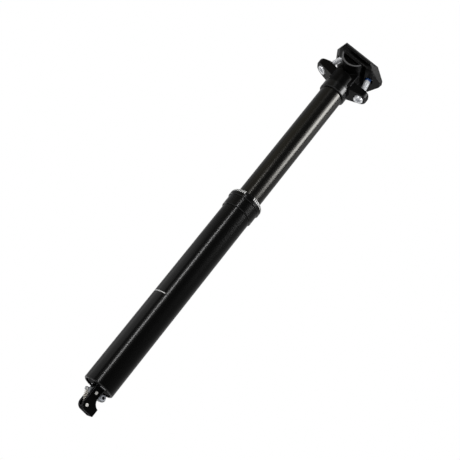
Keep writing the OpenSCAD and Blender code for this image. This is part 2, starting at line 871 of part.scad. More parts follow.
// Skirt round the post, with a top that slopes down to the front
module skirt() {
  edge = 0.6;
  skirt_r = skirt_od / 2;
  mid_top = 24;
  top_slope = 12;
  difference() {
    rotate_extrude() polygon([
      [0, rim_z], [skirt_r - edge, rim_z], [skirt_r, rim_z + edge],
      [skirt_r, rim_z + rock_h], [0, rim_z + rock_h]
    ]);
    translate([0, 0, rim_z + mid_top]) rotate([0, top_slope, 0]) translate([-far, -far, 0]) cube(2 * far);
  }
}

// Pocket for a bolt's head and ball washer, with the hole for the bolt to swing in
module bolt_pocket(foot, nut_at) {
  head_fit = 0.8;
  hole_fit = 0.8;
  pocket_r = bolt_head_d / 2 + head_fit;
  seat = washer_r + run_fit;
  wall_top = washer_centre + sqrt(seat * seat - pocket_r * pocket_r);
  on_bolt(foot, nut_at) rotate_extrude() {
    translate([0, -far / 2]) square([pocket_r, far / 2 + wall_top]);
    intersection() {
      translate([0, washer_centre]) circle(seat);
      square([pocket_r, far]);
    }
    square([bolt_d / 2 + hole_fit, far / 2]);
  }
}

// Half-pipe that the lower cradle rocks in, on a short pillar
module cradle_seat() {
  seat_out = seat_r + seat_wall;
  pillar_half_w = 11;
  pillar_in = 2.5;
  difference() {
    union() {
      in_clamp() rotate([90, 0, 0]) cylinder(r = seat_out, h = 2 * seat_half_len, center = true);
      translate([rock_x - seat_out + pillar_in, -pillar_half_w, rim_z + skirt_depth])
        cube([2 * (seat_out - pillar_in), 2 * pillar_half_w, rock_h - skirt_depth]);
    }
    in_clamp() translate([-far / 2, -far / 2, -seat_edge_drop]) cube([far, far, far]);
  }
}

module head() {
  front_root = 22.5;
  rear_root = 22;
  color("#26272a") difference() {
    union() {
      skirt();
      ear(front_foot, front_nut_at, rim_z + front_root, front_ear_rise);
      ear(rear_foot, rear_nut_at, rim_z + rear_root, rear_ear_rise);
      cradle_seat();
    }
    in_clamp() rotate([90, 0, 0]) cylinder(r = seat_r, h = far * 2, center = true);
    for (side = [-1, 1]) in_clamp() translate([0, side * seat_half_len, 0]) rotate([-side * 90, 0, 0])
      translate([0, 0, -2 * seat_chamfer])
        cylinder(r1 = seat_r - seat_chamfer, r2 = seat_r + 2 * seat_chamfer, h = 3 * seat_chamfer);
    translate([0, 0, rim_z - past]) cylinder(r = post_r, h = skirt_depth + past);
    translate([0, 0, post_top - past]) cylinder(d = stud_d, h = stud_len + past);
    bolt_pocket(front_foot, front_nut_at);
    bolt_pocket(rear_foot, rear_nut_at);
  }
}

// Saddle clamp

module rails() {
  for (side = [-1, 1]) translate([0, side * rail_spacing / 2, 0]) rotate([0, 90, 0])
    cylinder(r = rail_r, h = far * 2, center = true);
}

// Half-round cradle, open in the middle and hollow under the rails at both ends
module lower_cradle() {
  seat_fit = 0.08;
  rail_seat_in = 17;
  relief = 4;
  rail_seat_t = 4.5;
  top = -clamp_gap / 2;
  color("#1d1e20") in_clamp() difference() {
    intersection() {
      rotate([90, 0, 0]) cylinder(r = seat_r - seat_fit, h = 2 * clamp_half_w, center = true);
      translate([-far / 2, -far / 2, top - far]) cube([far, far, far]);
    }
    rails();
    translate([-far / 2, -rail_seat_in, top - relief]) cube([far, 2 * rail_seat_in, far]);
    for (side = [-1, 1]) translate([-far / 2, side * (clamp_half_w - cradle_hollow + far / 2) - far / 2,
                                    top - rail_seat_t - far])
      cube([far, far, far]);
  }
}

// Plan of the upper clamp: rail wings on both sides, narrowing to a bolt lug at each end
module upper_plan() {
  edge = 2;
  w = clamp_half_w - edge;
  l = wing_half_len - edge;
  front = lug_reach - edge;
  rear = -rear_lug_reach + edge;
  lug_w = lug_half_w - edge;
  nose_w = nose_half_w - edge;
  grown([[front, nose_w], [l, w], [-l, w], [rear, lug_w], [rear, -lug_w], [-l, -w], [l, -w], [front, -nose_w]],
        edge);
}

// Section of the upper clamp across the rails: two thin wings and a thick middle
module upper_section() {
  wing_top = rail_r + wing_cover;
  rib_w = 17;
  shoulder = 21;
  low = clamp_gap / 2;
  polygon([
    [-clamp_half_w, low], [clamp_half_w, low], [clamp_half_w, wing_top - 1], [clamp_half_w - 1, wing_top],
    [shoulder, wing_top], [rib_w, rib_top], [-rib_w, rib_top], [-shoulder, wing_top],
    [-clamp_half_w + 1, wing_top], [-clamp_half_w, wing_top - 1]
  ]);
}

// Side outline of the upper clamp: level under the wings, rising under the lugs
module upper_side() {
  low = clamp_gap / 2;
  front_low = 5;
  front_top = 9.3;
  rear_low = 3.5;
  rear_top = 7.5;
  rise = nut_u + 4;
  polygon([
    [-rise, low], [nut_u - 2, low], [lug_reach, front_low], [lug_reach, front_top], [rise, rib_top],
    [-rise, rib_top], [-rear_lug_reach, rear_top], [-rear_lug_reach, rear_low]
  ]);
}

module upper_clamp() {
  nut_fit = 0.05;
  seat_w = barrel_nut_d / 2 + nut_fit;
  seat_len = barrel_nut_len + 8 * nut_fit;
  arch_w = 15;
  arch_top = 3;
  slot_fit = 0.6;
  color("#2a2b2e") in_clamp() difference() {
    intersection() {
      linear_extrude(far) upper_plan();
      slab(far * 2) upper_side();
      rotate([90, 0, 90]) linear_extrude(far * 2, center = true) upper_section();
    }
    rails();
    translate([-nut_u + seat_w + 2, -arch_w, -past])
      cube([2 * (nut_u - seat_w - 2), 2 * arch_w, arch_top + past]);
    for (end = [-1, 1]) translate([end * nut_u, 0, nut_w]) {
      slab(seat_len) {
        circle(seat_w);
        translate([-seat_w, 0]) square([2 * seat_w, far]);
      }
      bolt_slot(end, bolt_d / 2 + slot_fit);
    }
  }
}

// Slot below a barrel nut that widens downward, so that its bolt can lean in the lug
module bolt_slot(end, half_w) {
  foot = end > 0 ? front_foot : rear_foot;
  nut_at = end > 0 ? front_nut_at : rear_nut_at;
  lean = atan2(nut_at[0] - foot[0], nut_at[1] - foot[1]) - head_tilt;
  swing = 7;
  depth = far / 2;
  low_half = half_w + depth * tan(swing);
  slab(2 * half_w) rotate(-lean)
    polygon([[half_w, 0], [-half_w, 0], [-low_half, -depth], [low_half, -depth]]);
}

module clamp_bolt(foot, nut_at) {
  edge = 0.5;
  head_r = bolt_head_d / 2;
  length = norm(nut_at - foot) + bolt_past;
  color("#c4c6c8") on_bolt(foot, nut_at) difference() {
    rotate_extrude() polygon([
      [0, 0], [head_r - edge, 0], [head_r, edge], [head_r, bolt_head_h], [bolt_d / 2, bolt_head_h],
      [bolt_d / 2, length - edge], [bolt_d / 2 - edge, length], [0, length]
    ]);
    translate([0, 0, -past]) cylinder(d = socket_af / cos(30), h = socket_depth + past, $fn = 6);
  }
}

module front_bolt() {
  clamp_bolt(front_foot, front_nut_at);
}

module rear_bolt() {
  clamp_bolt(rear_foot, rear_nut_at);
}

module ball_washer(foot, nut_at) {
  washer_fit = 0.1;
  color("#a2a4a6") on_bolt(foot, nut_at) difference() {
    intersection() {
      translate([0, 0, washer_centre]) sphere(washer_r);
      translate([0, 0, bolt_head_h]) cylinder(d = bolt_head_d, h = far);
    }
    cylinder(d = bolt_d + 2 * washer_fit, h = far);
  }
}

module front_washer() {
  ball_washer(front_foot, front_nut_at);
}

module rear_washer() {
  ball_washer(rear_foot, rear_nut_at);
}

module barrel_nut(foot, nut_at) {
  color("#b0b2b4") difference() {
    translate([nut_at[0], 0, nut_at[1]]) rotate([90, 0, 0])
      cylinder(d = barrel_nut_d, h = barrel_nut_len, center = true);
    on_bolt(foot, nut_at) cylinder(r = bolt_d / 2 + swing_fit, h = far * 2);
  }
}

module front_nut() {
  barrel_nut(front_foot, front_nut_at);
}

module rear_nut() {
  barrel_nut(rear_foot, rear_nut_at);
}

outer_tube();
collar();
seal_ring();
wiper_seal();
upper_bushing();
end_cap();
end_cap_seal();
actuator_bracket();
bracket_screws();
pivot_pin();
spring_pin();
rocker();
cable_barrel();
barrel_screw();
return_spring();
release_button();
release_needle();
piston_rod();
rod_lock_nut();
bottom_bumper();
piston();
piston_seal();
stanchion();
lower_bushing();
guide_keys();
spring_cylinder();
cylinder_gland();
rod_seal();
cylinder_cap();
floating_piston();
floating_seal();
head();
lower_cradle();
upper_clamp();
front_bolt();
rear_bolt();
front_washer();
rear_washer();
front_nut();
rear_nut();
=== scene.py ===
import json
import math

import bmesh
import bpy
from mathutils import Matrix, Vector


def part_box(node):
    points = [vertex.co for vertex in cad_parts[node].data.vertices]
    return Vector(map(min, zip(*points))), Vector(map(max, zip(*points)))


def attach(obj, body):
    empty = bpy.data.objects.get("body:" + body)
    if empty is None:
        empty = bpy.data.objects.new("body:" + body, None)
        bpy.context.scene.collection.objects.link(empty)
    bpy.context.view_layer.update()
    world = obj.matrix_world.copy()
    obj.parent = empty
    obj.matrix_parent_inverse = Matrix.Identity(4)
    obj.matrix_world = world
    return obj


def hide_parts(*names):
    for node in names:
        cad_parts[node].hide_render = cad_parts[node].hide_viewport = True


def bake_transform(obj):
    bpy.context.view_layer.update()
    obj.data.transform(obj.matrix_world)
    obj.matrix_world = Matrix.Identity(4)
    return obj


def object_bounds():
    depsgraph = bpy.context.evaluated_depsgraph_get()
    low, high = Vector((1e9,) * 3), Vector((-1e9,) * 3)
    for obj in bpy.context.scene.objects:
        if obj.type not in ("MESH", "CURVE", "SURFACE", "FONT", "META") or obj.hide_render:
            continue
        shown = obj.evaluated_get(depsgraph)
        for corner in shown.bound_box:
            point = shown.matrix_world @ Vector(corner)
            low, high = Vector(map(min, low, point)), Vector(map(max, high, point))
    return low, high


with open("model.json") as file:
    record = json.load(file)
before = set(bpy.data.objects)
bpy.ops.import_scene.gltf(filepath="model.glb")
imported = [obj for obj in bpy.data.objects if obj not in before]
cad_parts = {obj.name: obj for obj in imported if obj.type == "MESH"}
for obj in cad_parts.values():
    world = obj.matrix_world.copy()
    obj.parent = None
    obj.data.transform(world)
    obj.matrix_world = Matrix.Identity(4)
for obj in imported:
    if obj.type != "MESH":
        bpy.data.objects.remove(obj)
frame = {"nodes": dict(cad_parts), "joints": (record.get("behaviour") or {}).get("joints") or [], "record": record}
cad_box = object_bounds()
nodes = frame["nodes"]
joints = {joint["name"]: joint for joint in frame["joints"]}
mounts = {mount["name"]: mount for mount in frame["record"]["mounts"]}
scene = bpy.context.scene

MM = 0.001

# Photograph: the post runs to the upper right, and the camera looks up at it from below
IMAGE_PX = 460
FOCAL_PX = 1080
SENSOR_MM = 36
VIEW_AZIMUTH = 17
VIEW_ELEVATION = -22.8
VIEW_DISTANCE = 1034 * MM
POST_SLOPE = 51.49
AIM = Vector((0, 0, -16.5 * MM))
AIM_PX = (226.13, 227.09)


def direction(azimuth, elevation=0):
    """Unit vector at an azimuth from the near side towards the front, and an elevation."""
    a = math.radians(azimuth)
    e = math.radians(elevation)
    return Vector((math.sin(a) * math.cos(e), -math.cos(a) * math.cos(e), math.sin(e)))


# Materials
SURFACE_BUMP = 0.05 * MM
# Edge lightening, patch scale and bare grey: partly wear, partly a painted edge highlight
WEAR_AND_HIGHLIGHT_PATCHES = 350
EDGE_WEAR_AND_HIGHLIGHT_GREY = (0.16, 0.16, 0.17)
# Lighter grey painted on the head's end faces: a painted highlight for the light they catch
END_FACE_HIGHLIGHT_GREY = (0.085, 0.085, 0.087)
COAT_ROUGHNESS = 0.22
COAT_WEIGHT = 0.6
ZINC_DARK = (0.74, 0.75, 0.77)
ZINC_LIGHT = (0.9, 0.91, 0.93)
ZINC_METALLIC = 0.45
THREADLOCKER_BLUE = (0.012, 0.085, 0.32)
THREADLOCKER_RAGGED = 4 * MM
THREADLOCKER_EDGE = 0.6 * MM


def grey(value):
    return (value, value, value)


def new_group(name, inputs, outputs):
    """Shader node group with named float inputs and the outputs given as (name, socket type)."""
    group = bpy.data.node_groups.new(name, "ShaderNodeTree")
    for label, default in inputs:
        socket = group.interface.new_socket(label, in_out="INPUT", socket_type="NodeSocketFloat")
        socket.default_value = default
    for label, kind in outputs:
        group.interface.new_socket(label, in_out="OUTPUT", socket_type=kind)
    return group, group.nodes.new("NodeGroupInput"), group.nodes.new("NodeGroupOutput")


def grain_group():
    """Fine surface grain over eased edges: a noise value and a bumped normal, at a scale per metre."""
    group, given, out = new_group(
        "surface_grain",
        [("Scale", 2500), ("Depth", 0.2), ("Stretch", 1), ("Edge", 0.2 * MM)],
        [("Value", "NodeSocketFloat"), ("Normal", "NodeSocketVector")],
    )
    place = group.nodes.new("ShaderNodeTexCoord")
    squeeze = group.nodes.new("ShaderNodeCombineXYZ")
    squeeze.inputs[0].default_value = 1
    squeeze.inputs[1].default_value = 1
    mapped = group.nodes.new("ShaderNodeVectorMath")
    mapped.operation = "MULTIPLY"
    noise = group.nodes.new("ShaderNodeTexNoise")
    noise.inputs["Detail"].default_value = 3
    bump = group.nodes.new("ShaderNodeBump")
    bump.inputs["Distance"].default_value = SURFACE_BUMP
    eased = group.nodes.new("ShaderNodeBevel")
    eased.samples = 4
    link = group.links.new
    link(given.outputs["Edge"], eased.inputs["Radius"])
    link(eased.outputs["Normal"], bump.inputs["Normal"])
    link(given.outputs["Stretch"], squeeze.inputs[2])
    link(place.outputs["Object"], mapped.inputs[0])
    link(squeeze.outputs[0], mapped.inputs[1])
    link(mapped.outputs[0], noise.inputs["Vector"])
    link(given.outputs["Scale"], noise.inputs["Scale"])
    link(noise.outputs["Fac"], bump.inputs["Height"])
    link(given.outputs["Depth"], bump.inputs["Strength"])
    link(noise.outputs["Fac"], out.inputs["Value"])
    link(bump.outputs["Normal"], out.inputs["Normal"])
    return group


def edge_wear_and_highlight_group():
    """Mask of edges that are lightened, partly as wear from handling and partly as a painted edge highlight: where
    a rounded normal leaves the face's own.
    """
    group, given, out = new_group(
        "edge_wear_and_painted_highlight",
        [("Radius", 0.3 * MM), ("Amount", 1)],
        [("Mask", "NodeSocketFloat")],
    )
    rounded = group.nodes.new("ShaderNodeBevel")
    rounded.samples = 4
    shape = group.nodes.new("ShaderNodeNewGeometry")
    agree = group.nodes.new("ShaderNodeVectorMath")
    agree.operation = "DOT_PRODUCT"
    spread = group.nodes.new("ShaderNodeMapRange")
    spread.inputs["From Min"].default_value = 0.97
    spread.inputs["From Max"].default_value = 0.8
    place = group.nodes.new("ShaderNodeTexCoord")
    patches = group.nodes.new("ShaderNodeTexNoise")
    patches.inputs["Scale"].default_value = WEAR_AND_HIGHLIGHT_PATCHES
    broken = group.nodes.new("ShaderNodeMath")
    broken.operation = "MULTIPLY"
    scaled = group.nodes.new("ShaderNodeMath")
    scaled.operation = "MULTIPLY"
    link = group.links.new
    link(given.outputs["Radius"], rounded.inputs["Radius"])
    link(rounded.outputs["Normal"], agree.inputs[0])
    link(shape.outputs["Normal"], agree.inputs[1])
    link(agree.outputs["Value"], spread.inputs["Value"])
    link(place.outputs["Object"], patches.inputs["Vector"])
    link(spread.outputs["Result"], broken.inputs[0])
    link(patches.outputs["Fac"], broken.inputs[1])
    link(broken.outputs["Value"], scaled.inputs[0])
    link(given.outputs["Amount"], scaled.inputs[1])
    link(scaled.outputs["Value"], out.inputs["Mask"])
    return group


GRAIN = grain_group()
EDGE_WEAR_AND_HIGHLIGHT = edge_wear_and_highlight_group()


class Surface:
    """Material with a Principled shader, and short calls for its grain, wear and colours."""

    def __init__(self, name, **settings):
        self.material = bpy.data.materials.new(name)
        self.material.use_nodes = True
        self.tree = self.material.node_tree
        self.shader = self.tree.nodes["Principled BSDF"]
        for label, value in settings.items():
            self.shader.inputs[label.replace("_", " ")].default_value = value

    def node(self, kind):
        return self.tree.nodes.new(kind)

    def link(self, source, target):
        self.tree.links.new(source, target)

    def group(self, tree, **settings):
        node = self.node("ShaderNodeGroup")
        node.node_tree = tree
        for label, value in settings.items():
            node.inputs[label].default_value = value
        return node

    def grain(self, scale, depth, stretch=1, edge=0.2 * MM):
        """Bumps the surface, eases its edges and returns the grain's value."""
        node = self.group(GRAIN, Scale=scale, Depth=depth, Stretch=stretch, Edge=edge)
        self.link(node.outputs["Normal"], self.shader.inputs["Normal"])
        return node.outputs["Value"]

    def between(self, value, low, high):
        """Value from 0 to 1, spread between low and high."""
        node = self.node("ShaderNodeMapRange")
        node.inputs["To Min"].default_value = low
        node.inputs["To Max"].default_value = high
        self.link(value, node.inputs["Value"])
        return node.outputs["Result"]

    def mixed(self, mask, first, second):
        """Colour that goes from first to second by a mask. Either may be a socket or a colour."""
        node = self.node("ShaderNodeMix")
        node.data_type = "RGBA"
        self.link(mask, node.inputs["Factor"])
        for label, colour in (("A", first), ("B", second)):
            socket = next(s for s in node.inputs if s.name == label and s.type == "RGBA")
            if isinstance(colour, bpy.types.NodeSocket):
                self.link(colour, socket)
            else:
                socket.default_value = (*colour, 1)
        return next(s for s in node.outputs if s.type == "RGBA")

    def place_mask(self, kept, limit, over):
        """Mask of what lies over or under a limit: of the distance from the collar for "Z", and of the
        distance to either side for "Y"."""
        place = self.node("ShaderNodeTexCoord")
        keep = self.node("ShaderNodeVectorMath")
        keep.operation = "MULTIPLY"
        keep.inputs[1].default_value = [axis in kept for axis in "XYZ"]
        measure = self.node("ShaderNodeVectorMath")
        measure.operation = "LENGTH"
        past = self.node("ShaderNodeMath")
        past.operation = "GREATER_THAN" if over else "LESS_THAN"
        past.inputs[1].default_value = limit
        self.link(place.outputs["Object"], keep.inputs[0])
        self.link(keep.outputs["Vector"], measure.inputs[0])
        self.link(measure.outputs["Value"], past.inputs[0])
        return past.outputs["Value"]

    def colour(self, socket):
        self.link(socket, self.shader.inputs["Base Color"])

    def roughness(self, socket):
        self.link(socket, self.shader.inputs["Roughness"])


def black_metal(name, dark, light, rough, grain, specular, wear_and_highlight=0.5, stretch=1, edge=0.2 * MM,
                painted_highlight_from=None, turned=None, wear_and_highlight_radius=0.25 * MM, tint=(1, 1, 1, 1)):
    """Black anodised or coated metal, with grain, and edges lightened towards bare grey, partly as wear
    and partly as a painted edge highlight. Grain is a scale and a depth, and rough the least and most
    roughness, here and in the next two. Faces at the ends, farther to either side of the post than the
    distance given before turned, are painted a lighter grey as a painted highlight. What lies nearer than turned
    to the collar was turned and coated, and is glossier."""
    surface = Surface(name, Specular_IOR_Level=specular, Specular_Tint=tint)
    if turned:
        surface.shader.inputs["Coat Roughness"].default_value = COAT_ROUGHNESS
        coated = surface.place_mask("Z", turned, False)
        surface.link(surface.between(coated, 0, COAT_WEIGHT), surface.shader.inputs["Coat Weight"])
    value = surface.grain(*grain, stretch, edge)
    edge_wear_and_highlight = surface.group(EDGE_WEAR_AND_HIGHLIGHT, Radius=wear_and_highlight_radius, Amount=wear_and_highlight)
    base = surface.mixed(value, dark, light)
    # Edges lighten towards bare grey: partly wear, partly a painted edge highlight
    base = surface.mixed(edge_wear_and_highlight.outputs["Mask"], base, EDGE_WEAR_AND_HIGHLIGHT_GREY)
    # Painted highlight: the end faces are painted a lighter grey
    if painted_highlight_from:
        base = surface.mixed(surface.place_mask("Y", painted_highlight_from, True), base, END_FACE_HIGHLIGHT_GREY)
    surface.colour(base)
    surface.roughness(surface.between(value, *rough))
    return surface.material


def bright_metal(name, dark, light, rough, grain, stretch=1, metallic=1):
    """Bare or plated metal, with fine marks that change its colour and gloss. Satin plating is less
    metallic."""
    surface = Surface(name, Metallic=metallic)
    value = surface.grain(*grain, stretch)
    surface.colour(surface.mixed(value, dark, light))
    surface.roughness(surface.between(value, *rough))
    return surface.material


def moulded(name, dark, light, rough, grain, specular):
    """Rubber or plastic, with a fine moulded texture."""
    surface = Surface(name, Specular_IOR_Level=specular)
    value = surface.grain(*grain)
    surface.colour(surface.mixed(value, dark, light))
    surface.roughness(surface.between(value, *rough))
    return surface.material


def threadlocked(name, start, axis, low, high):
    """Zinc plated bolt with dried blue threadlocker between two distances along its axis."""
    surface = Surface(name)
    value = surface.grain(2600, 0.15)
    place = surface.node("ShaderNodeTexCoord")
    offset = surface.node("ShaderNodeVectorMath")
    offset.operation = "SUBTRACT"
    offset.inputs[1].default_value = start
    along = surface.node("ShaderNodeVectorMath")
    along.operation = "DOT_PRODUCT"
    along.inputs[1].default_value = axis
    surface.link(place.outputs["Object"], offset.inputs[0])
    surface.link(offset.outputs["Vector"], along.inputs[0])
    smear = surface.node("ShaderNodeTexNoise")
    smear.inputs["Scale"].default_value = 420
    surface.link(place.outputs["Object"], smear.inputs["Vector"])
    ragged = surface.node("ShaderNodeMath")
    ragged.operation = "MULTIPLY_ADD"
    ragged.inputs[1].default_value = THREADLOCKER_RAGGED
    surface.link(smear.outputs["Fac"], ragged.inputs[0])
    surface.link(along.outputs["Value"], ragged.inputs[2])
    rise = surface.node("ShaderNodeMapRange")
    rise.inputs["From Min"].default_value = low
    rise.inputs["From Max"].default_value = low + THREADLOCKER_EDGE
    surface.link(ragged.outputs["Value"], rise.inputs["Value"])
    fall = surface.node("ShaderNodeMapRange")
    fall.inputs["From Min"].default_value = high
    fall.inputs["From Max"].default_value = high - THREADLOCKER_EDGE
    surface.link(ragged.outputs["Value"], fall.inputs["Value"])
    patch = surface.node("ShaderNodeMath")
    patch.operation = "MULTIPLY"
    surface.link(rise.outputs["Result"], patch.inputs[0])
    surface.link(fall.outputs["Result"], patch.inputs[1])
    zinc = surface.mixed(value, ZINC_DARK, ZINC_LIGHT)
    surface.colour(surface.mixed(patch.outputs["Value"], zinc, THREADLOCKER_BLUE))
    metallic = surface.between(patch.outputs["Value"], ZINC_METALLIC, 0)
    surface.link(metallic, surface.shader.inputs["Metallic"])
    surface.roughness(surface.between(value, 0.2, 0.38))
    return surface.material


def forged_black(name, painted_highlight_from=None, turned=None):
    return black_metal(
        name, grey(0.0008), grey(0.0018), (0.24, 0.32), (3400, 0.12), 0.14,
        wear_and_highlight=0.8, edge=0.6 * MM, painted_highlight_from=painted_highlight_from, turned=turned)


def anodised_black(name, wear_and_highlight=0.5, edge=0.2 * MM):
    return black_metal(
        name, grey(0.001), grey(0.002), (0.2, 0.24), (5200, 0.012), 0.3, wear_and_highlight=wear_and_highlight, edge=edge)


# Finishes of the record's material slots
FINISHES = {
    "anodised_black": anodised_black("anodised_black"),
    "gloss_black": black_metal(
        "gloss_black", grey(0.0006), grey(0.0012), (0.23, 0.26), (900, 0.0015), 0.55,
        wear_and_highlight=0.2, stretch=9, edge=0, tint=(1, 0.975, 0.91, 1)),
    "forged_black": forged_black("forged_black"),
    "zinc_steel": bright_metal(
        "zinc_steel", ZINC_DARK, ZINC_LIGHT, (0.2, 0.34), (2600, 0.1), metallic=ZINC_METALLIC),
    "pin_steel": bright_metal(
        "pin_steel", (0.8, 0.79, 0.75), (0.9, 0.89, 0.85), (0.3, 0.42), (3800, 0.1), metallic=0.3),
    "dark_steel": bright_metal(
        "dark_steel", (0.05, 0.05, 0.055), (0.1, 0.1, 0.11), (0.35, 0.5), (3000, 0.2)),
    "spring_steel": bright_metal(
        "spring_steel", (0.62, 0.58, 0.52), (0.82, 0.78, 0.72), (0.22, 0.36), (5000, 0.1), metallic=0.5),
    "brass": bright_metal("brass", (0.6, 0.45, 0.2), (0.74, 0.58, 0.3), (0.25, 0.4), (2400, 0.1)),
    "rod_chrome": bright_metal(
        "rod_chrome", (0.68, 0.69, 0.71), (0.76, 0.77, 0.79), (0.06, 0.12), (1500, 0.03), stretch=8),
    "plain_aluminium": bright_metal(
        "plain_aluminium", (0.42, 0.43, 0.45), (0.58, 0.59, 0.61), (0.3, 0.45), (1600, 0.1), stretch=10),
    "seal_rubber": moulded("seal_rubber", grey(0.008), grey(0.016), (0.55, 0.75), (3600, 0.3), 0.3),
    "buffer_rubber": moulded(
        "buffer_rubber", (0.38, 0.12, 0.04), (0.5, 0.18, 0.07), (0.5, 0.7), (2200, 0.25), 0.4),
    "bushing_plastic": moulded(
        "bushing_plastic", (0.26, 0.22, 0.13), (0.36, 0.31, 0.19), (0.4, 0.55), (2600, 0.2), 0.4),
}
PRINT_WHITE = moulded("print_white", (0.6, 0.6, 0.59), (0.72, 0.72, 0.71), (0.45, 0.6), (5200, 0.08), 0.4)

# Finishes of single nodes: the head's turned skirt reaches this high above its lower end, and its end
# faces, as far in as the slack, are painted a lighter grey as a painted highlight
TURNED_SKIRT = 9 * MM
END_FACE_HIGHLIGHT_SLACK = 0.2 * MM
head_low, head_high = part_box("head")
NODE_FINISHES = {
    "head": forged_black(
        "forged_black_painted_end_highlight", head_high.y - END_FACE_HIGHLIGHT_SLACK, head_low.z + TURNED_SKIRT),
    "outer_tube": anodised_black("anodised_black_tube", wear_and_highlight=0.2, edge=0),
    "end_cap": moulded(
        "blackened_aluminium", grey(0.001), grey(0.002), (0.5, 0.7), (1600, 0.1), 0.04),
    # The bracket's strong edge lightening is a painted edge highlight, a thin light line along its edges
    "actuator_bracket": black_metal(
        "bracket_black", grey(0.002), grey(0.004), (0.4, 0.5), (4200, 0.06), 0.02,
        wear_and_highlight=2, wear_and_highlight_radius=0.5 * MM),
    "rocker": bright_metal(
        "rocker_zinc", (0.62, 0.64, 0.66), (0.8, 0.82, 0.84), (0.22, 0.34), (2600, 0.1), metallic=0.85),
    "cable_barrel": bright_metal(
        "satin_zinc", (0.6, 0.63, 0.69), (0.76, 0.79, 0.85), (0.34, 0.46), (2600, 0.1), metallic=0.5),
}

for subpart in frame["record"]["subparts"]:
    slots = nodes[subpart["node"]].data.materials
    slots.clear()
    slots.append(NODE_FINISHES.get(subpart["node"], FINISHES[subpart["material_slot"]]))


# Pieces
SHARP_ANGLE = 35


def smooth(mesh):
    """Smooth shading, with sharp edges kept where faces meet at more than the sharp angle."""
    for face in mesh.polygons:
        face.use_smooth = True
    mesh.set_sharp_from_angle(angle=math.radians(SHARP_ANGLE))


def new_piece(name, points, faces, material):
    """Object with a plain mesh, its normals turned outwards and its material set."""
    mesh = bpy.data.meshes.new(name)
    mesh.from_pydata([tuple(p) for p in points], [], faces)
    shape = bmesh.new()
    shape.from_mesh(mesh)
    bmesh.ops.recalc_face_normals(shape, faces=shape.faces)
    shape.to_mesh(mesh)
    shape.free()
    mesh.materials.append(material)
    smooth(mesh)
    piece = bpy.data.objects.new(name, mesh)
    scene.collection.objects.link(piece)
    return piece


def skin(rings):
    """Points and faces of a skin over rings of equal length, with both ends closed by a fan."""
    count = len(rings[0])
    points = [p for ring in rings for p in ring]
    faces = []
    for i in range(len(rings) - 1):
        for j in range(count):
            k = (j + 1) % count
            faces.append((i * count + j, i * count + k, (i + 1) * count + k, (i + 1) * count + j))
    for ring, first in ((rings[0], 0), (rings[-1], (len(rings) - 1) * count)):
        points.append(sum(ring, Vector()) / count)
        faces += [(first + j, first + (j + 1) % count, len(points) - 1) for j in range(count)]
    return points, faces


# Clamp bolts, with their threads and hex sockets
BOLT_R = 3 * MM
HEAD_R = 5 * MM
HEAD_H = 5.5 * MM
SOCKET_AF = 5 * MM
SOCKET_DEPTH = 3 * MM
SOCKET_BEVEL = 0.25 * MM
SOCKET_LIP = 0.1 * MM
BOLT_EDGE = 0.5 * MM
UNDERHEAD_EDGE = 0.2 * MM
WASHER_CENTRE = 1.6 * MM
BOLT_PAST = 8.5 * MM
THREAD_PITCH = 1 * MM
THREAD_DEPTH = 0.55 * MM
PLAIN_SHANK = 6 * MM
BOLT_SIDES = 60
RINGS_PER_PITCH = 8
THREADLOCKER_FROM = 28 * MM
THREADLOCKER_TO = 33 * MM


def round_ring(radius, z):
    angles = [2 * math.pi * i / BOLT_SIDES for i in range(BOLT_SIDES)]
    return [Vector((radius * math.cos(a), radius * math.sin(a), z)) for a in angles]


def hex_ring(across_flats, z):
    ring = []
    for i in range(BOLT_SIDES):
        a = 2 * math.pi * i / BOLT_SIDES
        off = (a + math.pi / 6) % (math.pi / 3) - math.pi / 6
        r = across_flats / 2 / math.cos(off)
        ring.append(Vector((r * math.cos(a), r * math.sin(a), z)))
    return ring


def thread_ring(z, fade):
    """Ring of a helical thread at height z. Fade thins the thread towards its two ends."""
    ring = []
    for i in range(BOLT_SIDES):
        a = 2 * math.pi * i / BOLT_SIDES
        phase = (z / THREAD_PITCH - i / BOLT_SIDES) % 1
        groove = 1 - abs(2 * phase - 1)
        r = BOLT_R - THREAD_DEPTH * fade * groove
        ring.append(Vector((r * math.cos(a), r * math.sin(a), z)))
    return ring


def bolt_rings(length):
    """Rings of a bolt along Z: hex socket, head, plain shank and thread."""
    mouth = SOCKET_AF / 2 / math.cos(math.pi / 6)
    rings = [
        hex_ring(SOCKET_AF, SOCKET_DEPTH),
        hex_ring(SOCKET_AF, SOCKET_BEVEL),
        round_ring(mouth + SOCKET_LIP, 0),
        round_ring(HEAD_R - BOLT_EDGE, 0),
        round_ring(HEAD_R - BOLT_EDGE * 0.3, BOLT_EDGE * 0.3),
        round_ring(HEAD_R, BOLT_EDGE),
        round_ring(HEAD_R, HEAD_H - UNDERHEAD_EDGE),
        round_ring(HEAD_R - UNDERHEAD_EDGE, HEAD_H),
        round_ring(BOLT_R, HEAD_H),
    ]
    thread_from = HEAD_H + PLAIN_SHANK
    thread_run = length - BOLT_EDGE - thread_from
    steps = round(thread_run / THREAD_PITCH * RINGS_PER_PITCH)
    for i in range(steps + 1):
        fade = min(1, i / RINGS_PER_PITCH, (steps - i) / RINGS_PER_PITCH)
        rings.append(thread_ring(thread_from + thread_run * i / steps, fade))
    rings.append(round_ring(BOLT_R - BOLT_EDGE, length))
    return rings


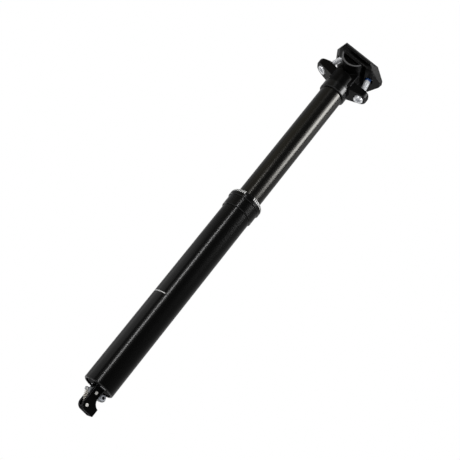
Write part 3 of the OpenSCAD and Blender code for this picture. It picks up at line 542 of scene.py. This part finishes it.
def clamp_bolt(node, body, swing, nut, smeared):
    """Bolt from its ball washer's pivot through its nut. A smeared one has threadlocker on its thread."""
    pivot = Vector(joints[swing]["pos_m"])
    nut_centre = Vector(joints[nut]["pos_m"])
    axis = (nut_centre - pivot).normalized()
    foot = pivot - axis * WASHER_CENTRE
    points, faces = skin(bolt_rings((nut_centre - foot).length + BOLT_PAST))
    turn = Vector((0, 0, 1)).rotation_difference(axis).to_matrix().to_4x4()
    placed = [Matrix.Translation(foot) @ turn @ p for p in points]
    material = FINISHES["zinc_steel"]
    if smeared:
        material = threadlocked("zinc_threadlocked", foot, axis, THREADLOCKER_FROM, THREADLOCKER_TO)
    piece = new_piece(node + "_threaded", placed, faces, material)
    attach(piece, body)
    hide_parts(node)


clamp_bolt("front_bolt", "front_screw", "front_bolt_swing", "front_nut_turn", True)
clamp_bolt("rear_bolt", "rear_screw", "rear_bolt_swing", "rear_nut_turn", False)


# Return spring of the release lever: the solid's path, drawn with a rounder wire
WIRE_R = 0.35 * MM
CURL_R = 1.7 * MM
CURLS = 7
HOOK_R = 1.6 * MM
RAMP = 0.9 * MM
PIN_RAMP = 2 * MM
PIN_SIDE = 0.3 * MM
PIN_HOOK_R = 2.15 * MM
TAB = Vector((-8.4, 0, -2)) * MM
SPRING_PIN = Vector((0, 0, -13.4)) * MM
CURL_STEPS = 24
WIRE_SIDES = 12


def spring_path():
    """Points along the wire: hook in the tab, curls, and hook round the pin, in the bracket's frame."""
    top = TAB
    foot = SPRING_PIN
    run = (foot - top).length
    along = (foot - top) / run
    across = Vector((0, -1, 0))
    beside = along.cross(across)

    def point(s, r, degrees):
        a = math.radians(degrees)
        return top + along * s + (across * math.cos(a) + beside * math.sin(a)) * r

    start = HOOK_R + RAMP
    curl_run = run - start - PIN_RAMP - PIN_SIDE
    turn = 360 * (CURLS + 0.25)
    path = []
    for t in range(-90, 90, 10):
        a = math.radians(t)
        path.append(top + along * HOOK_R + (across * math.sin(a) - along * math.cos(a)) * HOOK_R)
    for i in range(9):
        k = i / 9
        path.append(point(HOOK_R + RAMP * k, HOOK_R + (CURL_R - HOOK_R) * k, 90 * k * k))
    steps = CURL_STEPS * (CURLS - 1)
    for i in range(steps + 1):
        k = i / steps
        path.append(point(start + curl_run * k, CURL_R, 90 + (turn - 180) * k))
    for i in range(1, 9):
        k = i / 9
        spread = CURL_R + (PIN_HOOK_R - CURL_R) * k
        path.append(point(start + curl_run + PIN_RAMP * k, spread, turn - 90 + 90 * (1 - (1 - k) ** 2)))
    for t in range(-8, 150, 8):
        a = math.radians(t)
        path.append(foot + (beside * math.cos(a) + along * math.sin(a)) * PIN_HOOK_R)
    return path


def wire_rings(path, radius):
    """Round rings square to a path, each turned as little as possible from the last."""
    rings = []
    side = None
    for i, p in enumerate(path):
        forward = (path[min(i + 1, len(path) - 1)] - path[max(i - 1, 0)]).normalized()
        side = forward.orthogonal() if side is None else side - forward * side.dot(forward)
        side.normalize()
        up = forward.cross(side)
        turns = [2 * math.pi * j / WIRE_SIDES for j in range(WIRE_SIDES)]
        rings.append([p + (side * math.cos(a) + up * math.sin(a)) * radius for a in turns])
    return rings


def return_spring():
    """Wire with its hook in the tab and its hook round the pin, built once in the lever's frame at rest."""
    lever = joints["release_lever"]
    to_bracket = Vector(lever["axis"])
    right = to_bracket.cross(Vector((0, 0, 1)))
    place = Matrix((right, to_bracket, Vector((0, 0, 1)))).transposed().to_4x4()
    place.translation = Vector(lever["pos_m"])
    points, faces = skin(wire_rings(spring_path(), WIRE_R))
    piece = new_piece("return_spring_wire", [place @ p for p in points], faces, FINISHES["spring_steel"])
    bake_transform(piece)
    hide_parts("return_spring")


return_spring()


# White print: a plain depth line on the lower tube, and plain marks on the seal ring
PRINT_LIFT = 0.03 * MM
PRINT_THICK = 0.025 * MM
TUBE_R = mounts["frame_clamp"]["dims"]["r_mm"] * MM
LINE_Z = -111.7 * MM
LINE_H = 0.8 * MM
LINE_FROM = -78
LINE_TO = -4
LINE_STEPS = 40


def thickened(piece):
    """Gives a printed face its thickness, towards the surface under it, as a plain closed mesh."""
    film = piece.modifiers.new("film", "SOLIDIFY")
    film.thickness = PRINT_THICK
    film.offset = -1
    made = piece.evaluated_get(bpy.context.evaluated_depsgraph_get())
    whole = bpy.data.meshes.new_from_object(made)
    piece.modifiers.clear()
    piece.data = whole
    smooth(whole)


def depth_line():
    points = []
    for i in range(LINE_STEPS + 1):
        out = direction(LINE_FROM + (LINE_TO - LINE_FROM) * i / LINE_STEPS) * (TUBE_R + PRINT_LIFT)
        points += [out + Vector((0, 0, LINE_Z)), out + Vector((0, 0, LINE_Z + LINE_H))]
    faces = [(2 * i, 2 * i + 2, 2 * i + 3, 2 * i + 1) for i in range(LINE_STEPS)]
    piece = new_piece("depth_line", points, faces, PRINT_WHITE)
    thickened(piece)
    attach(piece, "lower")


depth_line()

# Marks round the seal ring's dome. Azimuths and widths are in degrees
RING_LOW, RING_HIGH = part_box("seal_ring")
RING_R = RING_HIGH.x
CROWN_R = 13.4 * MM
DOME_LOW = RING_LOW.z + 3.6 * MM
MARK_FROM = 31
MARK_TO = 357
MARK_COUNT = 48
MARK_WIDTH = 3.6
MARK_DOME = (3, 70)


def dome_point(azimuth, rise):
    """Point just above the seal ring's dome, at an azimuth and an angle up the dome."""
    a = math.radians(rise)
    radius = CROWN_R + (RING_R - CROWN_R) * math.cos(a) + PRINT_LIFT
    height = DOME_LOW + (RING_HIGH.z - DOME_LOW) * math.sin(a) + PRINT_LIFT
    return direction(azimuth) * radius + Vector((0, 0, height))


def repeat_group():
    """Geometry nodes that repeat a mesh round the Z axis, with the material set on the result."""
    group = bpy.data.node_groups.new("repeat_round", "GeometryNodeTree")
    group.interface.new_socket("Geometry", in_out="INPUT", socket_type="NodeSocketGeometry")
    group.interface.new_socket("Count", in_out="INPUT", socket_type="NodeSocketInt")
    group.interface.new_socket("Step", in_out="INPUT", socket_type="NodeSocketFloat")
    group.interface.new_socket("Material", in_out="INPUT", socket_type="NodeSocketMaterial")
    group.interface.new_socket("Geometry", in_out="OUTPUT", socket_type="NodeSocketGeometry")
    given = group.nodes.new("NodeGroupInput")
    out = group.nodes.new("NodeGroupOutput")
    places = group.nodes.new("GeometryNodeMeshLine")
    places.inputs["Offset"].default_value = (0, 0, 0)
    index = group.nodes.new("GeometryNodeInputIndex")
    angle = group.nodes.new("ShaderNodeMath")
    angle.operation = "MULTIPLY"
    spin = group.nodes.new("ShaderNodeCombineXYZ")
    copies = group.nodes.new("GeometryNodeInstanceOnPoints")
    real = group.nodes.new("GeometryNodeRealizeInstances")
    painted = group.nodes.new("GeometryNodeSetMaterial")
    link = group.links.new
    link(given.outputs["Count"], places.inputs["Count"])
    link(index.outputs[0], angle.inputs[0])
    link(given.outputs["Step"], angle.inputs[1])
    link(angle.outputs[0], spin.inputs["Z"])
    link(places.outputs["Mesh"], copies.inputs["Points"])
    link(given.outputs["Geometry"], copies.inputs["Instance"])
    link(spin.outputs[0], copies.inputs["Rotation"])
    link(copies.outputs["Instances"], real.inputs["Geometry"])
    link(real.outputs["Geometry"], painted.inputs["Geometry"])
    link(given.outputs["Material"], painted.inputs["Material"])
    link(painted.outputs["Geometry"], out.inputs["Geometry"])
    return group


def ring_marks():
    across, up = 2, 6
    points = []
    for i in range(up + 1):
        rise = MARK_DOME[0] + (MARK_DOME[1] - MARK_DOME[0]) * i / up
        points += [dome_point(MARK_FROM + MARK_WIDTH * j / across, rise) for j in range(across + 1)]
    row = across + 1
    faces = [(i * row + j, i * row + j + 1, (i + 1) * row + j + 1, (i + 1) * row + j)
             for i in range(up) for j in range(across)]
    piece = new_piece("ring_marks", points, faces, PRINT_WHITE)
    group = repeat_group()
    modifier = piece.modifiers.new("repeat", "NODES")
    modifier.node_group = group
    step = math.radians((MARK_TO - MARK_WIDTH - MARK_FROM) / (MARK_COUNT - 1))
    settings = {"Count": MARK_COUNT, "Step": step, "Material": PRINT_WHITE}
    for item in group.interface.items_tree:
        if item.in_out == "INPUT" and item.name in settings:
            modifier[item.identifier] = settings[item.name]
    thickened(piece)
    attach(piece, "lower")


ring_marks()


# Stage: white surroundings, a pale floor far below, and soft lamps that the tubes mirror
AMBIENT = 0.55
ROOM_NEAR = 0.02
ROOM_FAR = 0.75
ROOM_FALLOFF = 1.8
CEILING = 0.62
HORIZON = 0.15
FLOOR_LIFT = 0.3
FLOOR_DROP = 0.5
FLOOR_HALF = 4
LAMP_DISTANCE = 0.8


def stage_floor():
    """Pale floor, lifted a little where the camera sees it."""
    corners = ((-1, -1), (1, -1), (1, 1), (-1, 1))
    z = cad_box[0][2] - FLOOR_DROP
    points = [Vector((x * FLOOR_HALF, y * FLOOR_HALF, z)) for x, y in corners]
    paint = moulded("floor_paint", grey(0.88), grey(0.92), (0.7, 0.8), (40, 0.02), 0.2)
    tree = paint.node_tree
    shader = tree.nodes["Principled BSDF"]
    shader.inputs["Emission Color"].default_value = (1, 1, 1, 1)
    rays = tree.nodes.new("ShaderNodeLightPath")
    lift = tree.nodes.new("ShaderNodeMath")
    lift.operation = "MULTIPLY"
    lift.inputs[1].default_value = FLOOR_LIFT
    tree.links.new(rays.outputs["Is Camera Ray"], lift.inputs[0])
    tree.links.new(lift.outputs["Value"], shader.inputs["Emission Strength"])
    new_piece("floor", points, [(0, 1, 2, 3)], paint)


def white_world():
    """White where the camera sees it. Metal sees a white sweep behind and below the post, a darker
    ceiling and a dark room on the near side. The light on matt surfaces is even."""
    world = bpy.data.worlds.new("studio")
    world.use_nodes = True
    scene.world = world
    tree = world.node_tree

    def node(kind, operation=None):
        made = tree.nodes.new(kind)
        if operation:
            made.operation = operation
        return made

    link = tree.links.new
    shown = tree.nodes["Background"]
    shown.inputs["Color"].default_value = (1, 1, 1, 1)
    place = node("ShaderNodeTexCoord")
    near = node("ShaderNodeVectorMath", "DOT_PRODUCT")
    near.inputs[1].default_value = direction(VIEW_AZIMUTH, VIEW_ELEVATION)
    link(place.outputs["Generated"], near.inputs[0])
    behind = node("ShaderNodeMapRange")
    behind.inputs["From Min"].default_value = 1
    behind.inputs["From Max"].default_value = -1
    link(near.outputs["Value"], behind.inputs["Value"])
    fading = node("ShaderNodeMath", "POWER")
    fading.inputs[1].default_value = ROOM_FALLOFF
    link(behind.outputs["Result"], fading.inputs[0])
    apart = node("ShaderNodeSeparateXYZ")
    link(place.outputs["Generated"], apart.inputs[0])
    height = node("ShaderNodeMapRange")
    height.inputs["From Min"].default_value = -HORIZON
    height.inputs["From Max"].default_value = HORIZON
    height.inputs["To Min"].default_value = 1
    height.inputs["To Max"].default_value = CEILING
    link(apart.outputs["Z"], height.inputs["Value"])
    curve = node("ShaderNodeMath", "MULTIPLY")
    link(fading.outputs["Value"], curve.inputs[0])
    link(height.outputs["Result"], curve.inputs[1])
    room = node("ShaderNodeMapRange")
    room.inputs["To Min"].default_value = ROOM_NEAR
    room.inputs["To Max"].default_value = ROOM_FAR
    link(curve.outputs["Value"], room.inputs["Value"])
    rays = node("ShaderNodeLightPath")
    mirrored = node("ShaderNodeMath", "MAXIMUM")
    link(rays.outputs["Is Glossy Ray"], mirrored.inputs[0])
    link(rays.outputs["Is Transmission Ray"], mirrored.inputs[1])
    level = node("ShaderNodeMix")
    level.inputs["A"].default_value = AMBIENT
    link(mirrored.outputs["Value"], level.inputs["Factor"])
    link(room.outputs["Result"], level.inputs["B"])
    seen = node("ShaderNodeMath", "MAXIMUM")
    link(level.outputs["Result"], seen.inputs[0])
    link(rays.outputs["Is Camera Ray"], seen.inputs[1])
    link(seen.outputs["Value"], shown.inputs["Strength"])


def soft_lamp(name, turn, width, height, power, z, lean=0, colour=(1, 1, 1)):
    """Rectangular lamp that faces the post, at an angle round it from the camera and a height of its
    middle. It is upright, or leans to one side by an angle."""
    lamp = bpy.data.lights.new(name, "AREA")
    lamp.shape = "RECTANGLE"
    lamp.size = width
    lamp.size_y = height
    lamp.energy = power
    lamp.color = colour
    holder = bpy.data.objects.new(name, lamp)
    out = direction(VIEW_AZIMUTH + turn)
    side = Vector((0, 0, 1)).cross(out)
    turned = Matrix((side, Vector((0, 0, 1)), out)).transposed().to_4x4()
    spot = Matrix.Translation(out * LAMP_DISTANCE + Vector((0, 0, z)))
    holder.matrix_world = spot @ turned @ Matrix.Rotation(math.radians(lean), 4, "Z")
    scene.collection.objects.link(holder)


def photo_camera():
    """Camera at the photograph's angle, rolled so that the post takes its slope in the picture."""
    back = direction(VIEW_AZIMUTH, VIEW_ELEVATION)
    right = Vector((0, 0, 1)).cross(back).normalized()
    up = back.cross(right)
    roll = math.radians(90 - POST_SLOPE)
    image_right = right * math.cos(roll) + up * math.sin(roll)
    image_up = up * math.cos(roll) - right * math.sin(roll)
    pixel = VIEW_DISTANCE / FOCAL_PX
    half = IMAGE_PX / 2
    centre = AIM + image_right * (half - AIM_PX[0]) * pixel - image_up * (half - AIM_PX[1]) * pixel
    lens = bpy.data.cameras.new("photo_camera")
    lens.sensor_width = SENSOR_MM
    lens.lens = FOCAL_PX / IMAGE_PX * SENSOR_MM
    camera = bpy.data.objects.new("photo_camera", lens)
    turned = Matrix((image_right, image_up, back)).transposed().to_4x4()
    camera.matrix_world = Matrix.Translation(centre + back * VIEW_DISTANCE) @ turned
    scene.collection.objects.link(camera)
    scene.camera = camera


stage_floor()
white_world()
soft_lamp("strip_lamp", -27.5, width=0.045, height=0.42, power=1.75, z=0.15, lean=8)
soft_lamp("broad_lamp", 57, width=0.36, height=0.41, power=6.5, z=0.662)
soft_lamp("wing_lamp", 37, width=0.2, height=0.16, power=0.35, z=0.63)
soft_lamp("warm_lamp", -60, width=0.92, height=0.25, power=0.15, z=0.52, colour=(1, 0.88, 0.6))
soft_lamp("head_lamp", -34, width=0.25, height=0.14, power=0.12, z=0.76)
soft_lamp("left_lamp", -92, width=1, height=0.36, power=0.6, z=0.09)
soft_lamp("right_lamp", 97, width=0.35, height=0.22, power=0.17, z=0.61)
soft_lamp("back_left_lamp", -140, width=0.3, height=0.34, power=0.8, z=-0.29)
soft_lamp("back_right_lamp", 140, width=0.3, height=0.34, power=0.8, z=-0.29)
photo_camera()
scene.view_settings.view_transform = "Standard"
